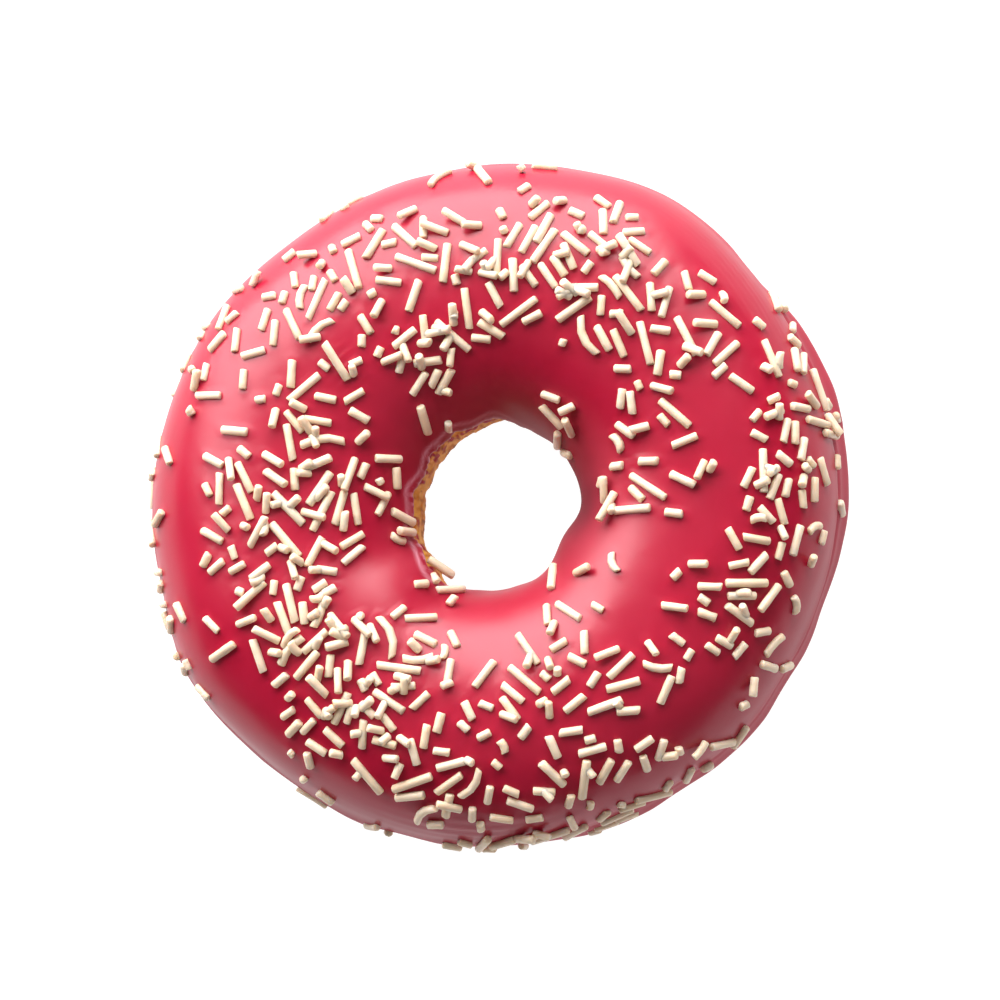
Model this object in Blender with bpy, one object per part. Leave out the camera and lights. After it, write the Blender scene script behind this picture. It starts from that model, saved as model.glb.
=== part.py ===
"""Iced ring doughnut with sugar strands: a fried dough ring, and the icing coat with the strands set in it.

Run it with blender --background --python part.py, or from Blender's text editor. Units are metres, +Z is up.
The origin is under the middle of the doughnut, on the face that it rests on.
"""

import math

import bmesh
import bpy
import numpy as np

MM = 0.001

# Dough ring. The section is a superellipse, cut flat where the ring rests.
DOUGH_RADIUS = 43.9 * MM
THROAT_RADIUS = 11.8 * MM
EQUATOR_HEIGHT = 13.8 * MM
CREST_RISE = 13.9 * MM
UNDER_DEPTH = 15.6 * MM
SECTION_POWER = 2.25
RING_MIDDLE = (0.3 * MM, 0.5 * MM)

# Unevenness round the ring: each swell is its angle in degrees, its height, and its half-width in degrees.
OUTER_SWELLS = (
    (60, 1.0 * MM, 13),
    (110, -0.9 * MM, 24),
    (128, -0.5 * MM, 12),
    (180, 0.5 * MM, 12),
    (209, 1.3 * MM, 13),
    (295, -1.0 * MM, 20),
    (335, -0.8 * MM, 16),
)
THROAT_SWELLS = (
    (5, 0.3 * MM, 20),
    (35, 0.4 * MM, 25),
    (105, -0.9 * MM, 18),
    (150, -2.4 * MM, 42),
    (190, -0.9 * MM, 20),
    (225, -1.5 * MM, 15),
    (240, 1.1 * MM, 26),
    (300, 0.7 * MM, 70),
    (329, -1.1 * MM, 17),
)
CREST_SWELLS = (
    (70, 0.4 * MM, 30),
    (160, -0.5 * MM, 35),
    (230, 0.3 * MM, 25),
    (320, -0.4 * MM, 30),
)

# Icing coat. Angles round the section count up from the outer equator, over the crest, to the throat at 180.
ICING_THICKNESS = 1.1 * MM
ICING_GAP = 0.3 * MM
ICING_BEAD = 0.3 * MM
BEAD_WIDTH = 9.0
FLARE_WIDTH = 7.0
FLARE_SWELLS = (
    (23, 1.1 * MM, 12),
    (3, 0.6 * MM, 14),
    (338, 0.4 * MM, 16),
    (183, 0.5 * MM, 20),
    (213, 0.6 * MM, 15),
    (243, 0.3 * MM, 16),
    (290, 0.4 * MM, 24),
)
LIP_OVERHANG = 2.6
LIP_SHARE = 0.62
OUTER_EDGE = -15.0
OUTER_EDGE_SWELLS = (
    (20, 5, 20),
    (75, -4, 14),
    (112, 5, 18),
    (160, -5, 12),
    (205, 4, 16),
    (262, -5, 12),
    (310, 4, 16),
)
OUTER_EDGE_WAVES = ((5, 1.6, 0.4), (11, 1.3, 2.1), (17, 0.9, 4.0))
INNER_EDGE = 184.0
INNER_EDGE_SWELLS = ((170, -29, 57), (232, -22, 31), (99, -20, 35))
INNER_EDGE_WAVES = ((7, 1.5, 1.0), (13, 1.2, 3.3))

# Sugar strands.
STRAND_DIAMETER = 1.08 * MM
STRAND_SPREAD = 0.07
STRAND_LENGTH = 3.0 * MM
STRAND_LENGTH_SPREAD = 0.36
SHORTEST_STRAND = 1.2 * MM
LONGEST_STRAND = 6.0 * MM
STRAND_SINK = 0.3
STRAND_SIDES = 5
STRAND_COUNT = 278
STRAND_SEED = 1
EDGE_CLEARANCE = 7.0

# Shares of the strands that are bent, and that lie with one end up, which none does on the outer wall. A bend's
# bow is a quarter of it times the length, and a lift is in strand diameters.
BENT_SHARE = 0.05
BENDS = (0.25, 0.6)
LIFTED_SHARE = 0.16
LIFTS = (0.9, 1.3)
AXIS_POINTS = 7

# A strand is turned and nudged until it finds a free place, and at the last try leans on what is there.
LAY_TRIES = 16
LAY_NUDGE = 0.010
LEANING_LIFT = 1.2
CONTACT_SHARE = 0.95

# Where the strands fell: angle round the ring in degrees, distance from its middle, spread, count.
DRIFTS = (
    (4, 38.0 * MM, 3.2 * MM, 24),
    (18, 41.5 * MM, 3.2 * MM, 15),
    (14, 26.0 * MM, 4.0 * MM, 6),
    (33, 22.0 * MM, 3.6 * MM, 5),
    (33, 31.5 * MM, 3.6 * MM, 10),
    (46, 35.5 * MM, 3.8 * MM, 15),
    (58, 30.0 * MM, 3.4 * MM, 20),
    (70, 34.5 * MM, 3.6 * MM, 18),
    (76, 29.0 * MM, 3.0 * MM, 14),
    (50, 15.5 * MM, 2.4 * MM, 6),
    (80, 39.5 * MM, 3.0 * MM, 7),
    (92, 22.5 * MM, 3.2 * MM, 11),
    (98, 35.5 * MM, 4.0 * MM, 9),
    (100, 28.0 * MM, 4.0 * MM, 10),
    (107, 19.0 * MM, 2.8 * MM, 11),
    (118, 15.0 * MM, 2.2 * MM, 5),
    (116, 36.5 * MM, 4.0 * MM, 9),
    (122, 30.0 * MM, 3.6 * MM, 12),
    (136, 34.5 * MM, 4.0 * MM, 12),
    (146, 37.0 * MM, 3.0 * MM, 9),
    (150, 27.5 * MM, 3.8 * MM, 10),
    (158, 41.5 * MM, 3.0 * MM, 7),
    (158, 23.5 * MM, 3.2 * MM, 8),
    (166, 17.5 * MM, 3.0 * MM, 6),
    (175, 38.0 * MM, 4.2 * MM, 11),
    (178, 27.5 * MM, 3.4 * MM, 22),
    (192, 24.0 * MM, 3.6 * MM, 20),
    (192, 17.0 * MM, 2.6 * MM, 9),
    (197, 41.0 * MM, 4.0 * MM, 9),
    (211, 28.5 * MM, 2.6 * MM, 15),
    (222, 30.5 * MM, 3.0 * MM, 15),
    (231, 13.8 * MM, 1.8 * MM, 4),
    (239, 27.0 * MM, 3.4 * MM, 30),
    (243, 20.5 * MM, 2.8 * MM, 9),
    (238, 36.0 * MM, 4.4 * MM, 13),
    (256, 37.5 * MM, 3.6 * MM, 20),
    (252, 18.0 * MM, 3.0 * MM, 3),
    (271, 40.0 * MM, 3.2 * MM, 16),
    (272, 24.0 * MM, 4.0 * MM, 6),
    (287, 28.5 * MM, 3.4 * MM, 14),
    (302, 21.0 * MM, 2.6 * MM, 8),
    (291, 37.5 * MM, 3.8 * MM, 25),
    (304, 30.0 * MM, 3.6 * MM, 8),
    (309, 39.5 * MM, 3.0 * MM, 6),
    (318, 29.0 * MM, 3.4 * MM, 5),
    (322, 19.0 * MM, 2.8 * MM, 3),
    (334, 33.0 * MM, 3.2 * MM, 10),
    (343, 37.0 * MM, 3.6 * MM, 18),
    (328, 41.0 * MM, 3.0 * MM, 5),
    (352, 18.5 * MM, 2.6 * MM, 6),
    (0, 24.5 * MM, 3.0 * MM, 5),
)
# Strands on the outer wall: from and to angle in degrees round the ring, and count.
WALL_DRIFTS = ((-20, 35, 8), (150, 215, 6), (235, 305, 11), (60, 120, 1))
WALL_LOW, WALL_HIGH = -4.0, 26.0

# How finely the solids are cut. The dough has the same levels under the icing as the icing's lower side.
STEPS_ROUND = 48
UNDER_LEVELS = 10
ICING_LEVELS = 12
FOOT_LEVELS = (202, 220, 240, 260, 280, 300, 318)
NORMAL_STEP = 0.001
WIDEST_SHARE = 0.97

# Colour as linear red, green and blue, roughness, and the angle in degrees over which an edge stays sharp.
CRUST_COLOUR, CRUST_ROUGHNESS, CRUST_SHARP = (0.56, 0.27, 0.07), 0.6, 40
ICING_COLOUR, ICING_ROUGHNESS, ICING_SHARP = (0.72, 0.05, 0.13), 0.25, 30


def swell_at(theta, swells):
    """The sum of the bell-shaped swells at each angle round the ring."""
    total = np.zeros_like(theta)
    for angle, height, width in swells:
        away = (np.degrees(theta) - angle + 180.0) % 360.0 - 180.0
        total = total + height * np.exp(-((away / width) ** 2))
    return total


def waves_at(theta, waves):
    """The sum of the waves at each angle: each is its count round the ring, its height and its phase."""
    return sum(height * np.sin(count * theta + phase) for count, height, phase in waves)


def ring_sizes(theta):
    """The radius of the section's middle, and the section's half-width, at each angle round the ring."""
    outer = DOUGH_RADIUS + swell_at(theta, OUTER_SWELLS)
    throat = THROAT_RADIUS + swell_at(theta, THROAT_SWELLS)
    return (outer + throat) / 2, (outer - throat) / 2


def dough_point(theta, phi):
    """The dough's surface before its foot is cut flat: a superellipse section carried round the ring."""
    middle, half = ring_sizes(theta)
    cos, sin = np.cos(phi), np.sin(phi)
    reach = (np.abs(cos) ** SECTION_POWER + np.abs(sin) ** SECTION_POWER) ** (-1 / SECTION_POWER)
    rise = np.where(sin > 0, CREST_RISE + swell_at(theta, CREST_SWELLS), UNDER_DEPTH)
    out = middle + half * cos * reach
    x = RING_MIDDLE[0] + out * np.cos(theta)
    y = RING_MIDDLE[1] + out * np.sin(theta)
    return np.stack([x, y, EQUATOR_HEIGHT + rise * sin * reach], axis=-1)


def unit(vectors):
    return vectors / np.linalg.norm(vectors, axis=-1, keepdims=True)


def dough_normal(theta, phi):
    """The outward normal, from small steps round the ring and round the section."""
    around = dough_point(theta + NORMAL_STEP, phi) - dough_point(theta - NORMAL_STEP, phi)
    over = dough_point(theta, phi + NORMAL_STEP) - dough_point(theta, phi - NORMAL_STEP)
    return unit(np.cross(around, over))


def icing_edges(theta):
    """The section angles, in degrees, where the icing ends on the outer wall and in the hole."""
    outer = OUTER_EDGE + swell_at(theta, OUTER_EDGE_SWELLS) + waves_at(theta, OUTER_EDGE_WAVES)
    inner = INNER_EDGE + swell_at(theta, INNER_EDGE_SWELLS) + waves_at(theta, INNER_EDGE_WAVES)
    return outer, inner


def icing_thickness(theta, phi):
    """Icing depth over the dough: even on top, a bead at both edges, a flare where it ran down and set."""
    outer, inner = icing_edges(theta)
    degrees = np.degrees(phi)
    from_edge = np.minimum(degrees - outer, inner - degrees)
    flare = swell_at(theta, FLARE_SWELLS) * np.exp(-(((degrees - outer) / FLARE_WIDTH) ** 2))
    return ICING_THICKNESS + ICING_BEAD * np.exp(-((from_edge / BEAD_WIDTH) ** 2)) + flare


def icing_point(theta, phi):
    """The icing's outer surface: the dough's, moved out by the icing's depth."""
    return dough_point(theta, phi) + icing_thickness(theta, phi)[..., None] * dough_normal(theta, phi)


def grid_faces(rows, columns):
    """Quads of a grid that closes on itself both ways."""
    r, c = np.meshgrid(np.arange(rows), np.arange(columns), indexing="ij")
    r_next, c_next = (r + 1) % rows, (c + 1) % columns
    corners = [r * columns + c, r_next * columns + c, r_next * columns + c_next, r * columns + c_next]
    return np.stack(corners, axis=-1).reshape(-1, 4)


def new_object(name, points, faces, material=None):
    """A mesh object whose faces point outwards."""
    mesh = bpy.data.meshes.new(name)
    mesh.from_pydata(points.reshape(-1, 3).tolist(), [], faces.tolist())
    work = bmesh.new()
    work.from_mesh(mesh)
    bmesh.ops.recalc_face_normals(work, faces=work.faces)
    work.to_mesh(mesh)
    work.free()
    if material:
        mesh.materials.append(material)
    return bpy.data.objects.new(name, mesh)


def food_material(name, colour, roughness):
    """An opaque Principled surface, as food has."""
    material = bpy.data.materials.new(name)
    material.use_nodes = True
    surface = material.node_tree.nodes["Principled BSDF"]
    surface.inputs["Base Color"].default_value = (*colour, 1.0)
    surface.inputs["Roughness"].default_value = roughness
    surface.inputs["Metallic"].default_value = 0.0
    return material


def under_levels(theta):
    """The section angles, in radians, of the icing's lower side at an angle round the ring."""
    outer, inner = (float(edge) for edge in icing_edges(np.array(theta)))
    return np.radians(np.linspace(outer + LIP_OVERHANG, inner - LIP_OVERHANG, UNDER_LEVELS))


def make_dough():
    """The fried ring: levels of the section carried round, with every point under the table raised to it."""
    angles = np.arange(STEPS_ROUND) * 2 * np.pi / STEPS_ROUND
    foot = np.radians(FOOT_LEVELS)
    phi = np.stack([np.concatenate([under_levels(float(theta)), foot]) for theta in angles])
    points = dough_point(np.broadcast_to(angles[:, None], phi.shape), phi)
    points[..., 2] = np.maximum(points[..., 2], 0.0)
    crust = food_material("fried_crust", CRUST_COLOUR, CRUST_ROUGHNESS)
    return new_object("dough_ring", points, grid_faces(*phi.shape), crust)


def icing_section(theta):
    """A closed loop of the icing's section at an angle round the ring: lip, top, lip and lower side."""
    outer, inner = (float(edge) for edge in icing_edges(np.array(theta)))
    top = np.radians(np.linspace(outer, inner, ICING_LEVELS + 1))
    under = under_levels(theta)
    lips = np.radians(np.array([outer - LIP_OVERHANG, inner + LIP_OVERHANG]))
    lip_points = shifted(theta, lips, LIP_SHARE * icing_thickness(np.full(2, theta), lips))
    top_points = shifted(theta, top, icing_thickness(np.full(len(top), theta), top))
    under_points = shifted(theta, under, np.full(len(under), ICING_GAP))
    return np.concatenate([lip_points[:1], top_points, lip_points[1:], under_points[::-1]])


def shifted(theta, phi, lift):
    """Points of the dough's surface at one angle round the ring, moved out by lift."""
    thetas = np.full(len(phi), theta)
    return dough_point(thetas, phi) + lift[:, None] * dough_normal(thetas, phi)


def make_icing(material):
    """The icing coat on its own, as a closed shell round the top of the ring."""
    angles = np.arange(STEPS_ROUND) * 2 * np.pi / STEPS_ROUND
    points = np.stack([icing_section(float(theta)) for theta in angles])
    return new_object("icing", points, grid_faces(*points.shape[:2]), material)


def section_angle(theta, distance):
    """The section angle of the upper surface at a distance from the ring's middle."""
    middle, half = ring_sizes(theta)
    across = np.clip((distance - middle) / half, -WIDEST_SHARE, WIDEST_SHARE)
    up = (1 - np.abs(across) ** SECTION_POWER) ** (1 / SECTION_POWER)
    return np.arctan2(up, across)


def plan_strands(draw):
    """Every strand, longest first: its ring angle, section angle, length, radius, bend and lift."""
    thetas, phis = [], []
    for angle, distance, spread, count in DRIFTS:
        x = distance * math.cos(math.radians(angle)) + spread * draw.standard_normal(count)
        y = distance * math.sin(math.radians(angle)) + spread * draw.standard_normal(count)
        thetas.append(np.arctan2(y, x))
        phis.append(section_angle(thetas[-1], np.hypot(x, y)))
    for start, end, count in WALL_DRIFTS:
        thetas.append(np.radians(draw.uniform(start, end, count)))
        phis.append(np.radians(draw.uniform(WALL_LOW, WALL_HIGH, count)))
    theta, phi = np.concatenate(thetas), np.concatenate(phis)
    outer, inner = icing_edges(theta)
    phi = np.radians(np.clip(np.degrees(phi), outer + EDGE_CLEARANCE, inner - EDGE_CLEARANCE))
    count = len(theta)
    length = STRAND_LENGTH * np.exp(STRAND_LENGTH_SPREAD * draw.standard_normal(count))
    length = np.clip(length, SHORTEST_STRAND, LONGEST_STRAND)
    radius = STRAND_DIAMETER / 2 * (1 + STRAND_SPREAD * draw.uniform(-1, 1, count))
    bend = np.where(draw.random(count) < BENT_SHARE, draw.uniform(*BENDS, count), 0.0)
    lift = np.where(draw.random(count) < LIFTED_SHARE, draw.uniform(*LIFTS, count), 0.0)
    lift = np.where(np.degrees(phi) > WALL_HIGH, lift, 0.0)
    order = np.argsort(-length, kind="stable")
    return np.stack([theta, phi, length, radius, bend, lift], axis=1)[order]


def over_icing(theta, phi, height):
    """The point at a height over the icing, and the outward direction there."""
    place, side = np.array([theta]), np.array([phi])
    up = dough_normal(place, side)[0]
    return icing_point(place, side)[0] + height * up, up


def strand_axis(theta, phi, turn, length, radius, bend, lift):
    """Points along a strand's middle line: its middle rests on the icing, or one end does, the other raised."""
    rest = radius * (1 - 2 * STRAND_SINK)
    centre, up = over_icing(theta, phi, rest)
    around = np.array([-math.sin(theta), math.cos(theta), 0.0])
    along = math.cos(turn) * around + math.sin(turn) * np.cross(up, around)
    reach = max(length - 2 * radius * STRAND_SINK, radius)
    if lift:
        half_width = float(ring_sizes(np.array(theta))[1])
        turn_round = reach / 2 * math.cos(turn) / math.hypot(centre[0], centre[1])
        turn_over = reach / 2 * math.sin(turn) / half_width
        low = over_icing(theta - turn_round, phi - turn_over, rest)[0]
        high = over_icing(theta + turn_round, phi + turn_over, rest + lift * 2 * radius)[0]
        along = unit(high - low)
        centre = low + reach / 2 * along
    across = unit(np.cross(up, along))
    share = np.linspace(-0.5, 0.5, AXIS_POINTS)[:, None]
    return centre + share * reach * along + bend * length * (0.25 - share**2) * across


def lay_strands(limit):
    """The middle lines, radii and bends of the longest strands, up to the limit, laid clear of each other."""
    draw = np.random.default_rng(STRAND_SEED)
    laid, radii, bends = [], [], []
    for theta, phi, length, radius, bend, lift in plan_strands(draw)[:limit]:
        for attempt in range(LAY_TRIES):
            turn = draw.uniform(0, 2 * math.pi)
            nudge = draw.normal(0, LAY_NUDGE * attempt, 2)
            raised = lift if attempt < LAY_TRIES - 1 else max(lift, LEANING_LIFT)
            axis = strand_axis(theta + nudge[0], phi + nudge[1], turn, length, radius, bend, raised)
            if not laid:
                break
            others = np.stack(laid)
            gaps = np.linalg.norm(others[:, :, None] - axis[None, None], axis=-1).min(axis=(1, 2))
            if (gaps > CONTACT_SHARE * (np.array(radii) + radius)).all():
                break
        laid.append(axis)
        radii.append(radius)
        bends.append(bend)
    return laid, radii, bends


def strand_object(index, axis, radius, bend):
    """One strand as a rod with flat ends. A straight one keeps only the two ends of its middle line."""
    kept = axis[::2] if bend else axis[[0, -1]]
    along = unit(np.gradient(kept, axis=0))
    side = unit(np.cross(along, axis[0]))
    up = np.cross(side, along)
    angles = (np.arange(STRAND_SIDES) + 0.5) * 2 * np.pi / STRAND_SIDES
    ring = np.cos(angles)[None, :, None] * side[:, None] + np.sin(angles)[None, :, None] * up[:, None]
    points = (kept[:, None] + radius * ring).reshape(-1, 3)
    mesh = bmesh.new()
    corners = [mesh.verts.new(point) for point in points]
    rings = [corners[i : i + STRAND_SIDES] for i in range(0, len(corners), STRAND_SIDES)]
    for near, far in zip(rings, rings[1:]):
        for i in range(STRAND_SIDES):
            j = (i + 1) % STRAND_SIDES
            mesh.faces.new((near[i], near[j], far[j], far[i]))
    mesh.faces.new(rings[0][::-1])
    mesh.faces.new(rings[-1])
    bmesh.ops.recalc_face_normals(mesh, faces=mesh.faces)
    data = bpy.data.meshes.new(f"strand_{index}")
    mesh.to_mesh(data)
    mesh.free()
    return bpy.data.objects.new(f"strand_{index}", data)


def keep_outer_body(mesh):
    """Drops every loose scrap and every surface sealed inside, leaving the largest connected surface."""
    work = bmesh.new()
    work.from_mesh(mesh)
    waiting, bodies = set(work.faces), []
    while waiting:
        body, reached = set(), [next(iter(waiting))]
        while reached:
            face = reached.pop()
            if face in body:
                continue
            body.add(face)
            reached.extend(other for edge in face.edges for other in edge.link_faces)
        bodies.append(body)
        waiting -= body
    bodies.sort(key=len)
    scraps = [face for body in bodies[:-1] for face in body]
    bmesh.ops.delete(work, geom=scraps, context="FACES")
    work.to_mesh(mesh)
    work.free()


def fuse_strands(icing):
    """Joins the strands to the icing with one Boolean union, applies it, and removes the loose strands."""
    collection = bpy.data.collections.new("strands")
    bpy.context.scene.collection.children.link(collection)
    for index, (axis, radius, bend) in enumerate(zip(*lay_strands(STRAND_COUNT))):
        collection.objects.link(strand_object(index, axis, radius, bend))
    union = icing.modifiers.new("fused_strands", "BOOLEAN")
    union.operation = "UNION"
    union.operand_type = "COLLECTION"
    union.collection = collection
    union.solver = "EXACT"
    bpy.context.view_layer.update()
    graph = bpy.context.evaluated_depsgraph_get()
    fused = bpy.data.meshes.new_from_object(icing.evaluated_get(graph))
    icing.modifiers.clear()
    icing.data = fused
    for strand in list(collection.objects):
        bpy.data.objects.remove(strand)
    bpy.data.collections.remove(collection)
    keep_outer_body(fused)


def shade_round(item, sharp_angle):
    item.data.shade_smooth()
    item.data.set_sharp_from_angle(angle=math.radians(sharp_angle))


def main():
    for item in list(bpy.data.objects):
        bpy.data.objects.remove(item)
    doughnut = bpy.data.objects.new("doughnut", None)
    bpy.context.scene.collection.objects.link(doughnut)
    icing = make_icing(food_material("set_icing", ICING_COLOUR, ICING_ROUGHNESS))
    dough = make_dough()
    for item in (dough, icing):
        bpy.context.scene.collection.objects.link(item)
        item.parent = doughnut
    fuse_strands(icing)
    shade_round(dough, CRUST_SHARP)
    shade_round(icing, ICING_SHARP)


main()
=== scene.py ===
"""Sprinkle frosted doughnut: a fried ring, its pink icing coat and the cream sugar strands set in it.

Lengths are in millimetres until mesh_object or the stage turns them to metres. Only the lights' places and
the camera's distance are in metres from the start. Angles round the ring start at +X and turn towards +Y.
Angles round the ring's section start at the outer equator, pass the crest at 90 degrees and reach the throat
of the hole at 180.
"""

import math

import bpy
import numpy as np
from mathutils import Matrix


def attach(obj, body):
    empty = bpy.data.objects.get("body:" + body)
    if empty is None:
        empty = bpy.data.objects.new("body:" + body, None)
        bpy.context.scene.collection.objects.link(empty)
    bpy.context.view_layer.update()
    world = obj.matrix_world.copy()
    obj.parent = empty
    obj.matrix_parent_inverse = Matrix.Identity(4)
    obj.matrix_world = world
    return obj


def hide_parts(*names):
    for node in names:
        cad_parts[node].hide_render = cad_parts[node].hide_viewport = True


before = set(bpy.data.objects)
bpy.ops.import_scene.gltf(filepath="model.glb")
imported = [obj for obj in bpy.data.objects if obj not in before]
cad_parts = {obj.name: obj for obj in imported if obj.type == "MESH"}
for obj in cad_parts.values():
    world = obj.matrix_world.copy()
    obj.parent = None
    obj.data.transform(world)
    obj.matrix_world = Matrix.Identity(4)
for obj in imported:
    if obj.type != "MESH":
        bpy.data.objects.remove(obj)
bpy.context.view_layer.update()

bl_info = {
    "name": "Sprinkle frosted doughnut",
    "version": (1, 0, 0),
    "blender": (4, 5, 0),
    "location": "3D View > Sidebar > Doughnut",
    "description": "Builds an iced ring doughnut with sugar strands on the packed solids",
    "category": "Object",
}

MM = 0.001

# Unevenness round the ring: each swell is its angle in degrees, its height in mm, its half-width in degrees.
OUTER_SWELLS = (
    (60, 1.0, 13),
    (110, -0.9, 24),
    (128, -0.5, 12),
    (180, 0.5, 12),
    (209, 1.3, 13),
    (295, -1.0, 20),
    (335, -0.8, 16),
)
THROAT_SWELLS = (
    (5, 0.3, 20),
    (35, 0.4, 25),
    (105, -0.9, 18),
    (150, -2.4, 42),
    (190, -0.9, 20),
    (225, -1.5, 15),
    (240, 1.1, 26),
    (300, 0.7, 70),
    (329, -1.1, 17),
)
CREST_SWELLS = (
    (70, 0.4, 30),
    (160, -0.5, 35),
    (230, 0.3, 25),
    (320, -0.4, 30),
)

# The icing's edges, in degrees round the section: the same swells, and waves as count, height and phase.
OUTER_EDGE_SWELLS = (
    (20, 5, 20),
    (75, -4, 14),
    (112, 5, 18),
    (160, -5, 12),
    (205, 4, 16),
    (262, -5, 12),
    (310, 4, 16),
)
OUTER_EDGE_WAVES = ((5, 1.6, 0.4), (11, 1.3, 2.1), (17, 0.9, 4.0))
INNER_EDGE_SWELLS = ((170, -29, 57), (232, -22, 31), (99, -20, 35))
INNER_EDGE_WAVES = ((7, 1.5, 1.0), (13, 1.2, 3.3))

# How far the icing flares where it ran down and set at its outer edge.
FLARE_SWELLS = (
    (23, 1.1, 12),
    (3, 0.6, 14),
    (338, 0.4, 16),
    (183, 0.5, 20),
    (213, 0.6, 15),
    (243, 0.3, 16),
    (290, 0.4, 24),
)

# Where the strands fell: angle round the ring in degrees, distance from its middle, spread, count.
DRIFTS = (
    (4, 38.0, 3.2, 24),
    (18, 41.5, 3.2, 15),
    (14, 26.0, 4.0, 6),
    (33, 22.0, 3.6, 5),
    (33, 31.5, 3.6, 10),
    (46, 35.5, 3.8, 15),
    (58, 30.0, 3.4, 20),
    (70, 34.5, 3.6, 18),
    (76, 29.0, 3.0, 14),
    (50, 15.5, 2.4, 6),
    (80, 39.5, 3.0, 7),
    (92, 22.5, 3.2, 11),
    (98, 35.5, 4.0, 9),
    (100, 28.0, 4.0, 10),
    (107, 19.0, 2.8, 11),
    (118, 15.0, 2.2, 5),
    (116, 36.5, 4.0, 9),
    (122, 30.0, 3.6, 12),
    (136, 34.5, 4.0, 12),
    (146, 37.0, 3.0, 9),
    (150, 27.5, 3.8, 10),
    (158, 41.5, 3.0, 7),
    (158, 23.5, 3.2, 8),
    (166, 17.5, 3.0, 6),
    (175, 38.0, 4.2, 11),
    (178, 27.5, 3.4, 22),
    (192, 24.0, 3.6, 20),
    (192, 17.0, 2.6, 9),
    (197, 41.0, 4.0, 9),
    (211, 28.5, 2.6, 15),
    (222, 30.5, 3.0, 15),
    (231, 13.8, 1.8, 4),
    (239, 27.0, 3.4, 30),
    (243, 20.5, 2.8, 9),
    (238, 36.0, 4.4, 13),
    (256, 37.5, 3.6, 20),
    (252, 18.0, 3.0, 3),
    (271, 40.0, 3.2, 16),
    (272, 24.0, 4.0, 6),
    (287, 28.5, 3.4, 14),
    (302, 21.0, 2.6, 8),
    (291, 37.5, 3.8, 25),
    (304, 30.0, 3.6, 8),
    (309, 39.5, 3.0, 6),
    (318, 29.0, 3.4, 5),
    (322, 19.0, 2.8, 3),
    (334, 33.0, 3.2, 10),
    (343, 37.0, 3.6, 18),
    (328, 41.0, 3.0, 5),
    (352, 18.5, 2.6, 6),
    (0, 24.5, 3.0, 5),
)
# Strands on the outer wall: from and to angle in degrees round the ring, and count. They lie between these
# degrees of the section.
WALL_DRIFTS = ((-20, 35, 8), (150, 215, 6), (235, 305, 11), (60, 120, 1))
WALL_LOW, WALL_HIGH = -4.0, 26.0

# Where the middle of the ring lies, and the step in radians that a normal is worked out over.
RING_MIDDLE = (0.3, 0.5)
NORMAL_STEP = 0.001
# How many degrees the strands keep from the icing's edges, and the share of the section's half-width that
# they reach at most.
EDGE_CLEARANCE = 7.0
WIDEST_SHARE = 0.97

# Shares of the strands that are bent, and that lie with one end up, which none does on the outer wall.
# A bend's bow is a quarter of it times the length, and a lift is in strand diameters.
BENT_SHARE = 0.05
BENDS = (0.25, 0.6)
LIFTED_SHARE = 0.16
LIFTS = (0.9, 1.3)
AXIS_POINTS = 7

# A strand is turned and nudged until it finds a free place, and at the last try leans on what is there.
LAY_TRIES = 16
LAY_NUDGE = 0.010
LEANING_LIFT = 1.2
CONTACT_SHARE = 0.95

# A rod: its sides, the width of its ends and how far they round over, both in shares of the thickness, where
# its middle circles lie along it, and how much its thickness and the slant of its cut ends vary.
STRAND_SIDES = 10
END_WIDTH = 0.8
END_ROUNDING = 0.22
ROD_STATIONS = (0.34, 0.66)
ROD_WOBBLE = 0.02
END_SLANT = 0.16

# The crust's lumps are of three sizes: how many go round the ring and over its section, and a seed. Below is
# how much of each goes into its relief, in mm, into its browning and into its stains of icing.
CRUST_LUMPS = ((34, 16, 5), (90, 44, 6), (190, 80, 7))
CRUST_RELIEF = (0.20, 0.12, 0.06)
CRUST_BROWNING = (0.2, 0.14, 0.1)
CRUST_STAIN = (0.0, 1.0, 0.5)
# How deep the icing presses the crust in, and over which degrees from the icing's edges.
PRESSED_DEPTH = 0.12
PRESSED_REACH = (-1.0, 3.0)
# How much the crust browns towards the foot, and between which drops below the equator, as shares of the
# equator's height.
BROWNING_BELOW = 0.6
BROWNING_DROP = (-0.15, 0.9)
# The spots in the hole: how much they brown it in all and one by one, their counts and seed, and the degrees
# of the section between which they lie and over which they fade.
SPOT_BROWNING, SPOT_CONTRAST = 0.18, 0.55
SPOT_LUMPS = (150, 56, 8)
SPOTTED = (150, 215)
SPOT_FADE = 15
# Stains of icing on the crust: the degrees past a lip over which they fade, in the hole and outside, and the
# heights of the lumps at which a stain begins and is full.
STAIN_INNER, STAIN_OUTER = (14.0, 26.0), (4.0, 10.0)
STAIN_EDGES = (0.0, 0.4)

# The icing's lumps, the waver of its edges and its runs: how many go round the ring and over its section,
# their height in mm, or in degrees for the waver, and a seed. The runs fade out between two degrees of the
# section.
ICING_LUMPS = ((16, 12, 0.14, 21), (44, 30, 0.03, 22))
EDGE_WAVER = ((70, 4, 1.1, 12), (150, 4, 0.6, 13))
RUNS = ((44, 4, 0.22, 23),)
RUNS_FADE = (-10, 25)
# The lips: the degrees of the section that each rounds over, and how deep the icing's lower side sits.
LIP_DEGREES = 3.4
UNDER_SINK = 0.05
# How the icing rises beside a strand, and how far from a strand's middle that is looked for.
RISE_HEIGHT = 0.05
RISE_WIDTH = 0.35
RISE_SEARCH = 5.0
# Wrinkles: ring angle, half-width, section angle, half-width and spacing in degrees, and height in mm. They
# slope over the section by this many degrees for each degree round the ring.
WRINKLES = (
    (42, 14, 34, 12, 3.6, 0.07),
    (137, 5, 98, 8, 4.2, 0.10),
    (268, 12, 30, 9, 6.0, 0.07),
)
WRINKLE_SLOPE = 0.12
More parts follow.
